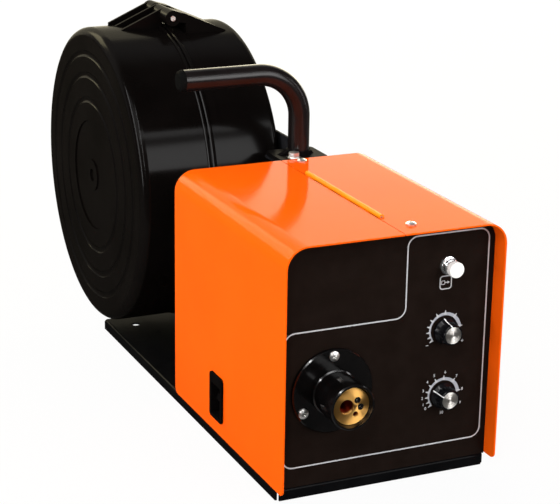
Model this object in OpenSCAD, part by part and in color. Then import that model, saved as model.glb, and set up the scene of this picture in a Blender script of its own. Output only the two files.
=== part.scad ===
// Welding wire feeder: folded sheet case with a side door, a geared wire drive
// inside it, and a closed plastic drum for the wire spool behind it.
// Millimetres. X is the width, +Y runs from the gun socket to the drum, +Z is up.

/* [Case] */
// Outer width over the two covers
case_w = 220; // [196:1:264]
// Length of the covers, front edge to rear edge
case_l = 267; // [250:1:330]
// Height of the covers' top above the floor
case_h = 246; // [232:1:296]
// Outer bend radius of the covers
bend_r = 21; // [14:1:26]
// Sheet thickness of covers and panels
sheet = 1.5; // [1.2:0.1:2]
// How far the front panel is set back from the covers' front edge
recess = 18; // [12:1:22]
// Length of the piano hinge
hinge_len = 160; // [120:40:200]

/* [Base] */
// Height of the folded base tray
base_h = 11; // [10:1:16]
// Thickness of the base tray's sheet
base_t = 2; // [1.5:0.5:3]

/* [Gun socket] */
// Radius of the round moulded flange
flange_r = 40; // [36:1:44]
// Radius of the brass socket body
brass_r = 17.4; // [16:0.1:19]
// How far the sleeve stands out of the front panel
sleeve_out = 45; // [30:1:55]

/* [Controls] */
// Distance between the three control rows
ctl_pitch = 64; // [56:1:70]
// Radius of a knob's skirt
knob_r = 12.5; // [11:0.5:15]

/* [Wire drive] */
// Height of the wire line above the floor
wire_z = 101; // [96:1:120]
// Radius of the feed and pressure rolls
roll_r = 15; // [14:0.5:16]
// Gear module
gear_m = 1.5; // [1.4:0.05:1.6]
// Teeth on the gear of each feed roll
roll_teeth = 20; // [18:1:22]
// Teeth on the drive gear
drive_teeth = 28; // [26:1:32]
// Half the distance between the two feed rolls
roll_half = 29; // [27:0.5:32]

/* [Drum] */
// Outer radius of the drum
drum_r = 161; // [156:1:190]
// Width of the closed drum
drum_w = 158; // [150:1:190]
// Wall thickness of the drum halves
drum_wall = 3; // [2.5:0.5:4]
// Rounding of the lid's outer edge
lid_round = 10; // [8:1:20]
// Radius of the spool hub, for a spool with a 51 mm bore
hub_r = 25; // [20:0.5:25.5]

/* [Handle] */
// Outer radius of the handle tube
tube_r = 11; // [9:0.5:13]
// Height of the grip's centre line above the covers
grip_up = 84; // [70:1:110]
// Centre line radius of the handle's bend
handle_bend = 46; // [30:1:56]

/* [Hidden] */
$fn = 64;

// Clearances: between moving faces, on a running shaft, and between fitted pieces
gap = 0.3;
run = 0.05;
fit = 0.05;

// Case
hw = case_w / 2;
in_hw = hw - sheet;
top_in = case_h - sheet;
corner_x = hw - bend_r;
corner_z = case_h - bend_r;
cover_z0 = base_h + 1;
panel_y = recess;
panel_back = panel_y + sheet;
rear_y = case_l - 3;
rear_in = rear_y - sheet;
panel_hw = in_hw - gap;
panel_top = top_in - gap;
flange_d = 15;
part_x = 10;

// Base
base_x = hw - 2;
base_y0 = panel_y - 1;

// Piano hinge
hinge_x = 9;
hinge_z = case_h + 0.3;
barrel_r = 2.5;
hpin_r = 1.2;
leaf_t = 1;
leaf_w = 17;
knuckle_l = 20;
knuckles = round(hinge_len / knuckle_l);
hinge_y0 = case_l / 2 - knuckles * knuckle_l / 2;
door_edge = 4.5;
cover_edge = 5.5;

// Fasteners
screw_r = 2;
screw_head_r = 4.8;
head_h = 3.2;
head_dome = 7.3;
bolt_r = 3;
top_screw_x = 23.3;
front_screw_y = panel_y + 6.1;
rear_screw_y = rear_y - 7.4;
side_screw_z = [60, case_h - 50];

// Gun socket and wire line
gun_x = -hw / 2;
wire_x = gun_x - 4.5;
flange_t = 4;
sleeve_y = panel_y - sleeve_out;
brass_y = sleeve_y + 4;
tail_y = panel_back + 44;
gun_screw_r = flange_r - 6;
gun_screw_a = [90, 210, 330];
contact_at = [[5.9, 4.9], [9.2, -1.8]];
contact_r = 3.1;
gas_at = [4.4, -8.1];

// Controls
ctl_x = hw - 49.7;
btn_z = case_h - 41;
knob_z = [case_h - 40 - ctl_pitch, case_h - 40 - 2 * ctl_pitch];
btn_r = 7.4;
btn_out = 7;
btn_gap = 3.4;
btn_front = panel_y - btn_out - btn_gap - 6.3;
shaft_r = 3;
pot_d = 11;
board_y = panel_back + pot_d + gap + 0.7;

// Rear connections
rear_x = hw - 32;
gas_z = wire_z + 8;
ctrl_z = case_h - 56;
power_x = hw - 40;
power_z = 70;
valve_y = rear_in - 46;
hose_y = tail_y - 7;
hose_r = 4;
hose_bend = 15;
bar_t = 3;
bar_x = hw - 10;

// Wire drive
guide_r = 2.8;
guide_l = 36;
drive_y = tail_y + 11.5 + guide_l + roll_half;
roll_pr = gear_m * roll_teeth / 2;
drive_pr = gear_m * drive_teeth / 2;
nip = 0.6;
feed_z = wire_z - roll_r - nip / 2;
press_z = wire_z + roll_r + nip / 2;
gear_z = feed_z - sqrt(pow(roll_pr + drive_pr, 2) - pow(roll_half, 2));
mesh_a = atan2(feed_z - gear_z, roll_half);
plate_x = wire_x + 17.5;
plate_t = 10;
disc_x = wire_x - 4;
rgear_x = wire_x + 5;
rgear_w = 5;
dgear_x = wire_x + 4.5;
dgear_w = 6;
shoulder_l = 22;
shoulder_r = 4;
arm_x = wire_x + 5;
arm_t = 6;
arm_span = 31;
motor_r = 31;
out_r = 6;
foot_z = 28;
liner_y = drive_y + roll_half + 9 + guide_l + 4;

// Door latch
latch_y = rear_y - 110;
latch_z = 49.5;
slider_x = -hw + 8.8;
slider_t = 3;

// Drum
drum_y = case_l + 54 + drum_r;
drum_z = drum_r + 27;
base_y1 = drum_y + 19;
drum_x1 = 33;
drum_x0 = drum_x1 - drum_w;
seam_x = -46;
band_h = 2.5;
lid_bead = 2;
step_w = 15;
ring_r = 5;
ring_deep = 1.4;
lid_hx = -43;
lid_hz = drum_z + drum_r + 13;
knuckle_r = 8.5;
dpin_r = 2.75;
catch_a = -45;
catch_x = -28;
catch_y = drum_r + 6;
drum_front = drum_y - sqrt(pow(drum_r, 2) - pow(drum_z - wire_z, 2));
slot_h = 14;
kn = [drum_y - 35, drum_y - 13.3, drum_y + 15.3, drum_y + 30, drum_y + 37];

// Spindle and hub
spin_r = 8;
spin_flange_x = drum_x1 - drum_wall - 6;
hub_x1 = spin_flange_x - 0.5;
hub_x0 = hub_x1 - 110;
hub_step = hub_x0 + 10;
spindle_bolt_a = [90, 210, 330];
spindle_bolt_r = 22;
keep_x = hub_x0 - 6;
keep_z = drum_z + 10;

// Support bracket and handle
upr_x = drum_x1 + 3;
upr_t = 2.5;
upr_y0 = case_l + 3;
upr_y1 = drum_y + 34;
bracket_bolt_y = [upr_y0 + 30, (upr_y0 + base_y1) / 2, base_y1 - 26];
foot_h = case_h - 6;
post_x = upr_x - 0.5;
post_y = case_l + 25;
grip_z = case_h + grip_up;
grip_end = drum_x0 + 34;
tube_t = 2;
foot_bolt_at = [[post_x - 2 * tube_r + 10, post_y - 15.5], [post_x + max(10, 2 * tube_r - 12), post_y + 17]];
foot_t = 4.5;

// Output frame: middle of the overall width and length, on the floor
x_lo = min(drum_x0, -hw - 2);
x_hi = hw + head_h;
y_hi = drum_y + drum_r + band_h;
org_x = (x_lo + x_hi) / 2;
org_y = (sleeve_y + y_hi) / 2;

// ---------------------------------------------------------------- helpers

// 2D profile in X and Z, extruded along Y
module along_y(y0, y1) translate([0, y1, 0]) rotate([90, 0, 0]) linear_extrude(y1 - y0) children();

// 2D profile in Y and Z, extruded along X
module along_x(x0, x1) translate([x0, 0, 0]) rotate([90, 0, 90]) linear_extrude(x1 - x0) children();

// Local +Z turned to +Y at (x, z)
module axis_y(x, z) translate([x, 0, z]) rotate([-90, 0, 0]) children();

// Local +Z turned to +X at (y, z)
module axis_x(y, z) translate([0, y, z]) rotate([0, 90, 0]) children();

module rod_x(x0, x1, y, z, r) translate([x0, y, z]) rotate([0, 90, 0]) cylinder(r = r, h = x1 - x0);

module rod_y(y0, y1, x, z, r) translate([x, y0, z]) rotate([-90, 0, 0]) cylinder(r = r, h = y1 - y0);

module box(x0, x1, y0, y1, z0, z1) translate([x0, y0, z0]) cube([x1 - x0, y1 - y0, z1 - z0]);

// Rounded rectangle about its centre
module rrect(w, h, r) {
    square([w - 2 * r, h], center = true);
    square([w, h - 2 * r], center = true);
    for (i = [-1, 1], j = [-1, 1]) translate([i * (w / 2 - r), j * (h / 2 - r)]) circle(r);
}

// Pan head screw: head on +Z, shank on -Z
module pan_screw(len = 8) {
    difference() {
        intersection() {
            translate([0, 0, head_h - head_dome]) sphere(head_dome);
            cylinder(r = screw_head_r, h = head_h);
        }
        for (a = [0, 90]) rotate(a) translate([-2.5, -0.5, 1.6]) cube([5, 1, 3]);
    }
    translate([0, 0, -len]) cylinder(r = screw_r, h = len + 0.1);
}

// Hex flange bolt: head on +Z, shank on -Z
module hex_bolt(len = 10) {
    cylinder(r = 6.4, h = 1);
    cylinder(r = 5.8, h = 6, $fn = 6);
    translate([0, 0, -len]) cylinder(r = bolt_r, h = len + 0.1);
}

// Shoulder screw: head on +Z, shoulder and thread on -Z
module shoulder_screw() {
    difference() {
        cylinder(r = 7, h = 4);
        translate([-8, -0.8, 2.6]) cube([16, 1.6, 3]);
    }
    translate([0, 0, -shoulder_l]) cylinder(r = shoulder_r, h = shoulder_l + 0.1);
    translate([0, 0, -shoulder_l - 8]) cylinder(r = 3, h = 8.1);
}

// ---------------------------------------------------------------- gears

function inv_deg(a) = tan(a) - a * PI / 180;

// Half the angle that a tooth spans at radius r
function tooth_half(r, rb, rp, z, play) =
    90 / z - play / rp * 45 / PI + (inv_deg(20) - inv_deg(acos(min(1, rb / r)))) * 180 / PI;

// Spur gear outline with involute flanks, one tooth centred on angle ph
module gear_2d(z, ph, play = 0.16) {
    rp = gear_m * z / 2;
    rb = rp * cos(20);
    tip = rp + 0.92 * gear_m;
    root = rp - 1.2 * gear_m;
    n = 4;
    rr = [for (i = [0:n]) max(rb, root) + (tip - max(rb, root)) * i / n];
    flank = [for (r = rr) [r, tooth_half(r, rb, rp, z, play)]];
    foot = [root, flank[0][1] + 0.5];
    function pol(r, a) = [r * cos(a), r * sin(a)];
    pts = [for (k = [0:z - 1]) let (c = ph + k * 360 / z) each concat(
        [pol(foot[0], c - foot[1])],
        [for (f = flank) pol(f[0], c - f[1])],
        [for (i = [n:-1:0]) pol(flank[i][0], c + flank[i][1])],
        [pol(foot[0], c + foot[1])])];
    polygon(pts);
}

// Tooth phase of a follower so that it meshes with a gear whose tooth is at ph
function mesh_phase(ph, z1, z2, dir) = dir + 180 + 360 / z2 * (0.5 - (ph - dir) * z1 / 360);

// Outline of a round wire coil, cut square to the coil's axis
module coil_2d(r, wire, pitch) {
    n = 3;
    half = 180 * wire / pitch;
    polygon(concat(
        [for (i = [-n:n]) let (t = i / n, w = wire / 2 * sqrt(max(0.06, 1 - t * t)))
            [(r + w) * cos(half * t), (r + w) * sin(half * t)]],
        [for (i = [n:-1:-n]) let (t = i / n, w = wire / 2 * sqrt(max(0.06, 1 - t * t)))
            [(r - w) * cos(half * t), (r - w) * sin(half * t)]]));
}

// ---------------------------------------------------------------- case

// Inverted tray: top plate with four flanges folded down, corners left open
module base_tray() {
    open = 3;
    rb = 3;
    module fold_2d(h) difference() {
        union() {
            translate([-h, 0]) square([2 * h, base_h - rb]);
            translate([-h + rb, 0]) square([2 * h - 2 * rb, base_h]);
            for (s = [-1, 1]) translate([s * (h - rb), base_h - rb]) circle(rb);
        }
        translate([-h + base_t, -1]) square([2 * h - 2 * base_t, base_h - rb + 1]);
        translate([-h + rb, -1]) square([2 * h - 2 * rb, base_h - base_t + 1]);
        for (s = [-1, 1]) translate([s * (h - rb), base_h - rb]) circle(rb - base_t);
    }
    color("#17181a") difference() {
        union() {
            along_y(base_y0 + open, base_y1 - open) fold_2d(base_x);
            translate([0, (base_y0 + base_y1) / 2, 0])
                along_x(-base_x + open, base_x - open) fold_2d((base_y1 - base_y0) / 2);
        }
        box(slider_x - 2, slider_x + slider_t + 2, latch_y - 7.5, latch_y + 7.5, 5, base_h + 1);
        for (x = [-80, 80], y = [case_l + 25, base_y1 - 30]) translate([x, y, 0]) cylinder(r = 4.5, h = 20);
        for (y = bracket_bolt_y) translate([upr_x + 19, y, 0]) cylinder(r = bolt_r + 0.1, h = 20);
    }
}

// Outline that both end panels share, fitting inside the covers
module panel_2d() {
    translate([-panel_hw, base_h]) square([2 * panel_hw, corner_z - base_h]);
    translate([-corner_x, base_h]) square([2 * corner_x, panel_top - base_h]);
    for (s = [-1, 1]) translate([s * corner_x, corner_z]) circle(bend_r - sheet - gap);
}

// Flanges of an end panel, from the panel's inner face at y0 to y1
module panel_flanges(y0, y1) {
    box(-corner_x + 1, corner_x - 1, y0, y1, panel_top - sheet, panel_top);
    box(-panel_hw + 3, panel_hw - 3, y0, y1, base_h, base_h + sheet);
    for (s = [-1, 1]) box(min(s * panel_hw, s * (panel_hw - sheet)), max(s * panel_hw, s * (panel_hw - sheet)),
        y0, y1, base_h, corner_z - 1);
}

module screw_bores(y, r) {
    translate([top_screw_x, y, top_in - 6]) cylinder(r = r, h = 10);
    for (z = side_screw_z) rod_x(hw - 8, hw + 2, y, z, r);
}

module front_panel() color("#202225") difference() {
    union() {
        along_y(panel_y, panel_back) panel_2d();
        panel_flanges(panel_y, panel_y + flange_d);
    }
    rod_y(0, 40, gun_x, wire_z, 22.6);
    for (a = gun_screw_a) rod_y(0, 40, gun_x + gun_screw_r * cos(a), wire_z + gun_screw_r * sin(a), screw_r + fit);
    rod_y(0, 40, ctl_x, btn_z, 8.1);
    for (z = knob_z) rod_y(0, 40, ctl_x, z, 4.6);
    screw_bores(front_screw_y, screw_r + fit);
}

module rear_panel() color("#2a2c2f") difference() {
    union() {
        along_y(rear_in, rear_y) panel_2d();
        panel_flanges(rear_y - flange_d, rear_y);
    }
    rod_y(rear_in - 5, rear_y + 5, wire_x, wire_z, 5.1);
    rod_y(rear_in - 5, rear_y + 5, rear_x, gas_z, 6.1);
    rod_y(rear_in - 5, rear_y + 5, rear_x, ctrl_z, 12.1);
    rod_y(rear_in - 5, rear_y + 5, power_x, power_z, 18.1);
    screw_bores(rear_screw_y, screw_r + fit);
}

// Sheet wall between the wire compartment and the electronics
module mid_partition() color("silver") difference() {
    union() {
        box(part_x, part_x + sheet, panel_back + gap, rear_in - gap, base_h + sheet + gap, panel_top - sheet - gap);
        box(part_x, part_x + sheet, panel_y + flange_d + 1, rear_y - flange_d - 1, base_h, top_in - leaf_t);
        box(part_x, part_x + 16, panel_y + flange_d + 1, rear_y - flange_d - 1, base_h, base_h + sheet);
        box(part_x, part_x + 16, panel_y + flange_d + 1, rear_y - flange_d - 1,
            top_in - leaf_t - sheet, top_in - leaf_t);
    }
    rod_x(0, 20, drive_y, gear_z, motor_r + 2);
    rod_x(0, 20, hose_y, gas_z, hose_r + 2);
    box(0, 20, tail_y - 18, tail_y + 4, wire_z - brass_r - bar_t - 2, wire_z - brass_r + 6);
}

// L-shaped cover section on the +X side, its top starting at x = edge
module cover_2d(edge) {
    translate([in_hw, cover_z0]) square([sheet, corner_z - cover_z0]);
    translate([corner_x, corner_z]) intersection() {
        difference() {
            circle(bend_r);
            circle(bend_r - sheet);
        }
        square(bend_r + 1);
    }
    translate([edge, top_in]) square([corner_x - edge, sheet]);
}

// Rounds off the lower corner of a side wall at y, towards dir
module corner_cut(y, dir) {
    r = 6;
    along_x(-hw - 1, hw + 1) translate([y, cover_z0]) difference() {
        translate([dir > 0 ? -r : -1, -1]) square([r + 1, r + 1]);
        translate([-dir * r, r]) circle(r);
    }
}

module right_cover() color("orangered") difference() {
    along_y(0, case_l) cover_2d(cover_edge);
    box(cover_edge - 1, hinge_x + barrel_r + gap, hinge_y0 - 0.5, hinge_y0 + knuckles * knuckle_l + 0.5,
        top_in - 1, case_h + 1);
    corner_cut(0, -1);
    corner_cut(case_l, 1);
    screw_bores(front_screw_y, screw_r + fit);
    screw_bores(rear_screw_y, screw_r + fit);
}

module panel_screws() color("silver") {
    for (y = [front_screw_y, rear_screw_y]) {
        translate([top_screw_x, y, case_h]) rotate(20) pan_screw();
        for (z = side_screw_z) translate([hw, y, z]) rotate([0, 90, 0]) pan_screw();
    }
    for (a = gun_screw_a)
        translate([gun_x + gun_screw_r * cos(a), panel_y - flange_t, wire_z + gun_screw_r * sin(a)])
            rotate([90, 0, 0]) rotate(a + 15) pan_screw();
}

// ---------------------------------------------------------------- piano hinge

// One leaf: side +1 is the fixed one, odd shifts its knuckles by one
module hinge_leaf(side, odd, bore) difference() {
    union() {
        for (i = [0:knuckles - 1]) let (y0 = hinge_y0 + i * knuckle_l + gap / 2, y1 = y0 + knuckle_l - gap)
            if (i % 2 == odd) {
                rod_y(y0, y1, hinge_x, hinge_z, barrel_r);
                box(min(hinge_x, hinge_x + side * 6), max(hinge_x, hinge_x + side * 6), y0, y1,
                    top_in - leaf_t, top_in);
            }
        box(min(hinge_x + side * 3.2, hinge_x + side * leaf_w), max(hinge_x + side * 3.2, hinge_x + side * leaf_w),
            hinge_y0 + gap / 2, hinge_y0 + knuckles * knuckle_l - gap / 2, top_in - leaf_t, top_in);
    }
    rod_y(hinge_y0 - 5, hinge_y0 + hinge_len + 50, hinge_x, hinge_z, bore);
}

module hinge_fixed_leaf() color("orangered") hinge_leaf(1, 0, hpin_r + 0.02);

module hinge_door_leaf() color("orangered") hinge_leaf(-1, 1, hpin_r + run);

module hinge_pin() color("silver")
    rod_y(hinge_y0 + gap, hinge_y0 + knuckles * knuckle_l - gap, hinge_x, hinge_z, hpin_r);

// ---------------------------------------------------------------- gun socket

module socket_flange() color("#18191b") difference() {
    axis_y(gun_x, wire_z) rotate_extrude() polygon([
        [brass_r + fit, brass_y + 1], [brass_r + 0.7, brass_y - 1], [brass_r + 1.8, sleeve_y],
        [brass_r + 3.2, sleeve_y], [brass_r + 4.2, sleeve_y + 1], [brass_r + 4.2, sleeve_y + 22],
        [brass_r + 3.4, panel_y - flange_t - 5], [brass_r + 4.6, panel_y - flange_t - 4],
        [brass_r + 4.6, panel_y - flange_t], [flange_r - 1, panel_y - flange_t],
        [flange_r, panel_y - flange_t + 1], [flange_r, panel_y], [brass_r + 4.9, panel_y],
        [brass_r + 4.9, tail_y - 18], [brass_r + fit, tail_y - 18]]);
    for (a = gun_screw_a) rod_y(0, 40, gun_x + gun_screw_r * cos(a), wire_z + gun_screw_r * sin(a), screw_r + fit);
}

module socket_body() color("goldenrod") difference() {
    union() {
        rod_y(brass_y, tail_y, gun_x, wire_z, brass_r);
        rod_x(gun_x, gun_x + brass_r + 12, hose_y, gas_z, hose_r - 1);
    }
    rod_y(brass_y - 1, brass_y + 40, wire_x, wire_z, 6.8);
    rod_y(brass_y - 1, tail_y + 1, wire_x, wire_z, 2.5);
    for (c = contact_at) rod_y(brass_y - 1, brass_y + 22, gun_x + c[0], wire_z + c[1], contact_r);
    rod_y(brass_y - 1, hose_y + 2, gun_x + gas_at[0], wire_z + gas_at[1], 2.6);
    translate([gun_x + gas_at[0], hose_y, wire_z + gas_at[1]]) cylinder(r = 1.8, h = gas_z - wire_z - gas_at[1]);
    rod_x(gun_x + gas_at[0] - 1.8, gun_x + brass_r + 13, hose_y, gas_z, 1.8);
    box(gun_x - 9, gun_x + 12, tail_y - 15.2, tail_y + 1, wire_z - brass_r - 1, wire_z - brass_r + 2);
}

module socket_contacts() color("#101010") for (c = contact_at) difference() {
    rod_y(brass_y + 0.2, brass_y + 21.9, gun_x + c[0], wire_z + c[1], contact_r - fit);
    rod_y(brass_y - 1, brass_y + 18, gun_x + c[0], wire_z + c[1], 1.5);
}

// ---------------------------------------------------------------- controls

module button_bezel() color("silver") difference() {
    union() {
        axis_y(ctl_x, btn_z) rotate_extrude() polygon([
            [0, panel_y - btn_out], [btn_r - 1, panel_y - btn_out], [btn_r, panel_y - btn_out + 0.8],
            [btn_r, panel_y - 4.6], [btn_r - 0.5, panel_y - 4.2], [btn_r - 0.5, panel_y - 3.6],
            [btn_r, panel_y - 3.2], [btn_r, panel_y - 1.8], [btn_r + 1.2, panel_y - 1.4],
            [btn_r + 1.6, panel_y], [8, panel_y], [8, panel_y + 11], [0, panel_y + 11]]);
        rod_y(panel_back + fit, panel_back + 3, ctl_x, btn_z, 10);
    }
    rod_y(0, 60, ctl_x, btn_z, 4.1);
}

module button_cap() color("gainsboro") axis_y(ctl_x, btn_z) rotate_extrude() polygon([
    [0, btn_front], [btn_r - 1.2, btn_front], [btn_r - 0.3, btn_front + 0.5], [btn_r, btn_front + 1.4],
    [btn_r - 0.2, panel_y - btn_out - btn_gap], [4, panel_y - btn_out - btn_gap], [4, panel_y + 8], [0, panel_y + 8]]);

module potentiometers() color("dimgray") for (z = knob_z) {
    difference() {
        union() {
            box(ctl_x - 8.5, ctl_x + 8.5, panel_back + fit, panel_back + pot_d, z - 9, z + 8.5);
            rod_y(panel_y - 4, panel_back + 1, ctl_x, z, 4.5);
            for (i = [-1:1]) rod_y(panel_back + 1, board_y + 2.4, ctl_x + 5 * i, z - 7, 0.45);
        }
        rod_y(0, panel_back + 9, ctl_x, z, shaft_r + run);
    }
    translate([ctl_x, panel_y - 2.4, z]) rotate([-90, 0, 0]) difference() {
        cylinder(r = 6.6, h = 2.4 - fit, $fn = 6);
        translate([0, 0, -1]) cylinder(r = 4.5 + fit, h = 5);
    }
}

// Control board on the backs of the potentiometers
module control_board() {
    z0 = knob_z[1] - 24;
    z1 = btn_z + 12;
    x0 = part_x + 14;
    x1 = hw - 12;
    color("darkgreen") difference() {
        union() {
            box(x0, x1, board_y, board_y + 1.6, z0, z1);
            for (i = [0:2]) box(x0 + 6, x0 + 22, board_y + 1.5, board_y + 13, z0 + 8 + 20 * i, z0 + 24 + 20 * i);
            for (i = [0:1]) rod_y(board_y + 1.5, board_y + 15, x1 - 10, z1 - 14 - 18 * i, 6);
            box(x1 - 22, x1 - 4, board_y + 1.5, board_y + 11, z0 + 4, z0 + 12);
            box(ctl_x - 9, ctl_x + 9, board_y + 1.5, board_y + 4, (knob_z[0] + knob_z[1]) / 2 - 9,
                (knob_z[0] + knob_z[1]) / 2 + 9);
        }
        for (z = knob_z, i = [-1:1]) rod_y(board_y - 1, board_y + 3, ctl_x + 5 * i, z - 7, 0.6);
    }
}

// Turned profile of a control knob, hollow behind and bored for its shaft
module knob(z) color("#141414") axis_y(ctl_x, z) rotate_extrude() polygon([
    [shaft_r, panel_y - 13], [0, panel_y - 13], [0, panel_y - 14.3], [8.1, panel_y - 14.3],
    [8.1, panel_y - 15], [9, panel_y - 15], [9.6, panel_y - 14.2], [10.2, panel_y - 6],
    [knob_r - 1.2, panel_y - 4.6], [knob_r, panel_y - 3], [knob_r, panel_y - 0.6],
    [knob_r - 2, panel_y - 0.6], [8, panel_y - 2], [8, panel_y - 4.6], [shaft_r, panel_y - 4.6]]);

module knob_cap(z) color("silver") axis_y(ctl_x, z) difference() {
    translate([0, 0, panel_y - 15.1]) cylinder(r = 8, h = 0.8);
    for (r = [2.5, 5]) translate([0, 0, panel_y - 15.2]) rotate_extrude()
        translate([r, 0]) circle(0.35, $fn = 24);
}

module knob_shaft(z) color("silver") rod_y(panel_y - 12.9, panel_back + 8.5, ctl_x, z, shaft_r - 0.02);

module knob_upper() knob(knob_z[0]);
module knob_upper_cap() knob_cap(knob_z[0]);
module shaft_upper() knob_shaft(knob_z[0]);
module knob_lower() knob(knob_z[1]);
module knob_lower_cap() knob_cap(knob_z[1]);
module shaft_lower() knob_shaft(knob_z[1]);

// ---------------------------------------------------------------- rear connections

module gas_valve() color("silver") difference() {
    union() {
        box(rear_x - 11, rear_x + 11, valve_y, rear_in - 6, gas_z - 10, gas_z + 10);
        box(rear_x - 13, rear_x + 13, valve_y + 6, valve_y + 32, gas_z + 9, gas_z + 36);
        rod_y(valve_y - 12, valve_y + 1, rear_x, gas_z, hose_r - 1);
    }
    rod_y(valve_y - 13, rear_in, rear_x, gas_z, 1.8);
    rod_y(rear_in - 16, rear_in, rear_x, gas_z, 5 + fit);
}

module gas_nipple() color("goldenrod") difference() {
    union() {
        rod_y(rear_in - 15, rear_y, rear_x, gas_z, 5);
        translate([rear_x, rear_y, gas_z]) rotate([-90, 0, 0]) cylinder(r = 9, h = 6, $fn = 6);
        rod_y(rear_y, rear_y + 12, rear_x, gas_z, 5);
        for (i = [0:2]) translate([rear_x, rear_y + 12 + 5 * i, gas_z]) rotate([-90, 0, 0])
            cylinder(r1 = 4.2, r2 = 3.2, h = 5);
    }
    rod_y(rear_in - 16, rear_y + 28, rear_x, gas_z, 1.8);
}

// Hose from the valve forward, round one bend, to the barb of the gun socket
module gas_hose() {
    cx = rear_x - hose_bend;
    cy = hose_y + hose_bend;
    module run_2d() difference() {
        circle(hose_r + 1);
        circle(hose_r - 1 + fit);
    }
    color("#303540") {
        translate([0, valve_y - 1, 0]) axis_y(rear_x, gas_z) mirror([0, 0, 1]) linear_extrude(valve_y - 1 - cy) run_2d();
        translate([cx, cy, gas_z]) rotate([0, 0, -90]) rotate_extrude(angle = 90) translate([hose_bend, 0]) run_2d();
        translate([gun_x + brass_r + 2, 0, 0]) axis_x(hose_y, gas_z) linear_extrude(cx - gun_x - brass_r - 2) run_2d();
    }
}

// Round control connector with its key and pins
module control_socket() color("silver") {
    difference() {
        union() {
            rod_y(rear_in - 14, rear_y + 12, rear_x, ctrl_z, 12);
            along_y(rear_y, rear_y + 3) translate([rear_x, ctrl_z]) rrect(30, 30, 3);
            rod_y(rear_in - 4, rear_in - fit, rear_x, ctrl_z, 15);
        }
        rod_y(rear_y - 1, rear_y + 13, rear_x, ctrl_z, 10);
    }
    for (i = [0:5]) rod_y(rear_y - 2, rear_y + 8, rear_x + 6 * cos(60 * i), ctrl_z + 6 * sin(60 * i), 1);
    rod_y(rear_y - 2, rear_y + 8, rear_x, ctrl_z, 1);
}

module power_socket() color("#18191b") difference() {
    union() {
        rod_y(rear_in - 22, rear_y + 4, power_x, power_z, 18);
        rod_y(rear_y, rear_y + 5, power_x, power_z, 24);
        rod_y(rear_in - 5, rear_in - fit, power_x, power_z, 22);
    }
    rod_y(rear_y - 22, rear_y + 6, power_x, power_z, 6.75);
}

// Folded copper bar from the gun socket's tail to the power socket
module power_busbar() {
    z1 = wire_z - brass_r + 2 - fit;
    z0 = z1 - bar_t;
    yb = rear_in - 22 - fit;
    color("peru") {
        box(gun_x - 8.8, bar_x, tail_y - 14, tail_y, z0, z1);
        box(bar_x - bar_t, bar_x, tail_y - 14, yb, z0 - 16, z1);
        box(power_x - 9, bar_x, yb - bar_t, yb, z0 - 16, z1);
    }
}

// ---------------------------------------------------------------- wire drive

// Cast aluminium plate that carries gears, rolls and arms
module drive_plate() color("silver") difference() {
    union() {
        along_x(plate_x, plate_x + plate_t) difference() {
            translate([drive_y, (foot_z + press_z + 14) / 2]) rrect(146, press_z + 14 - foot_z, 10);
            for (s = [-1, 1]) translate([drive_y + s * 80, foot_z + 20]) circle(28);
        }
        along_x(plate_x - 12, plate_x + 1) translate([drive_y, press_z - 1.3]) rrect(22, 6, 2);
    }
    rod_x(plate_x - 5, plate_x + 20, drive_y, gear_z, out_r + 0.5);
    for (s = [-1, 1]) {
        rod_x(plate_x - 1, plate_x + 8.2, drive_y + s * roll_half, feed_z, 3.05);
        rod_x(plate_x - 1, plate_x + 8.2, drive_y + s * (roll_half + arm_span), press_z, 3.05);
    }
}

// Insulating foot that holds the drive plate on the tray
module drive_mount() color("#26282b") difference() {
    box(plate_x - 6, plate_x + plate_t + 6, drive_y - 45, drive_y + 45, base_h, foot_z + 9);
    box(plate_x - fit, plate_x + plate_t + fit, drive_y - 50, drive_y + 50, foot_z, foot_z + 20);
    box(plate_x + plate_t - 1, plate_x + plate_t + 10, drive_y - 50, drive_y + 50, foot_z + 2, foot_z + 20);
    for (s = [-1, 1]) box(plate_x - 10, plate_x + 30, drive_y + s * 20 - 12, drive_y + s * 20 + 12, base_h - 1, foot_z - 5);
}

module gear_motor() color("#3a3d42") difference() {
    union() {
        along_x(plate_x + plate_t, plate_x + plate_t + 26) translate([drive_y, gear_z]) rrect(66, 62, 8);
        rod_x(plate_x + plate_t + 25, hw - 26, drive_y, gear_z, motor_r);
        rod_x(hw - 27, hw - 20, drive_y, gear_z, motor_r - 5);
        rod_x(hw - 21, hw - 16, drive_y, gear_z, 8);
    }
    rod_x(plate_x, plate_x + plate_t + 16, drive_y, gear_z, out_r + run);
}

module drive_gear() color("darkgray") {
    difference() {
        along_x(dgear_x, dgear_x + dgear_w) translate([drive_y, gear_z]) gear_2d(drive_teeth, 90);
        axis_x(drive_y, gear_z) translate([0, 0, dgear_x - 1]) rotate_extrude()
            translate([out_r + 3, 0]) square([drive_pr - out_r - 7, 2.5]);
    }
    rod_x(dgear_x + dgear_w - 0.1, plate_x + plate_t + 15, drive_y, gear_z, out_r);
}

// Grooved roll disc with a bore, x from disc_x over 8 mm
module roll_2d() polygon([
    [shoulder_r + run, 0], [roll_r - 0.6, 0], [roll_r, 0.6], [roll_r, 3.3], [roll_r - 0.8, 4],
    [roll_r, 4.7], [roll_r, 7.4], [roll_r - 0.6, 8], [shoulder_r + run, 8]]);

module feed_roll(side, ph) color("lightsteelblue") {
    yy = drive_y + side * roll_half;
    difference() {
        union() {
            translate([disc_x, 0, 0]) axis_x(yy, feed_z) rotate_extrude() roll_2d();
            along_x(rgear_x, rgear_x + rgear_w) translate([yy, feed_z]) gear_2d(roll_teeth, ph);
            rod_x(disc_x + 7.5, rgear_x + 0.5, yy, feed_z, roll_pr - 3);
            rod_x(rgear_x + rgear_w - 0.5, plate_x - gap, yy, feed_z, 7);
        }
        rod_x(disc_x - 1, plate_x + 1, yy, feed_z, shoulder_r + run);
    }
}

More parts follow.
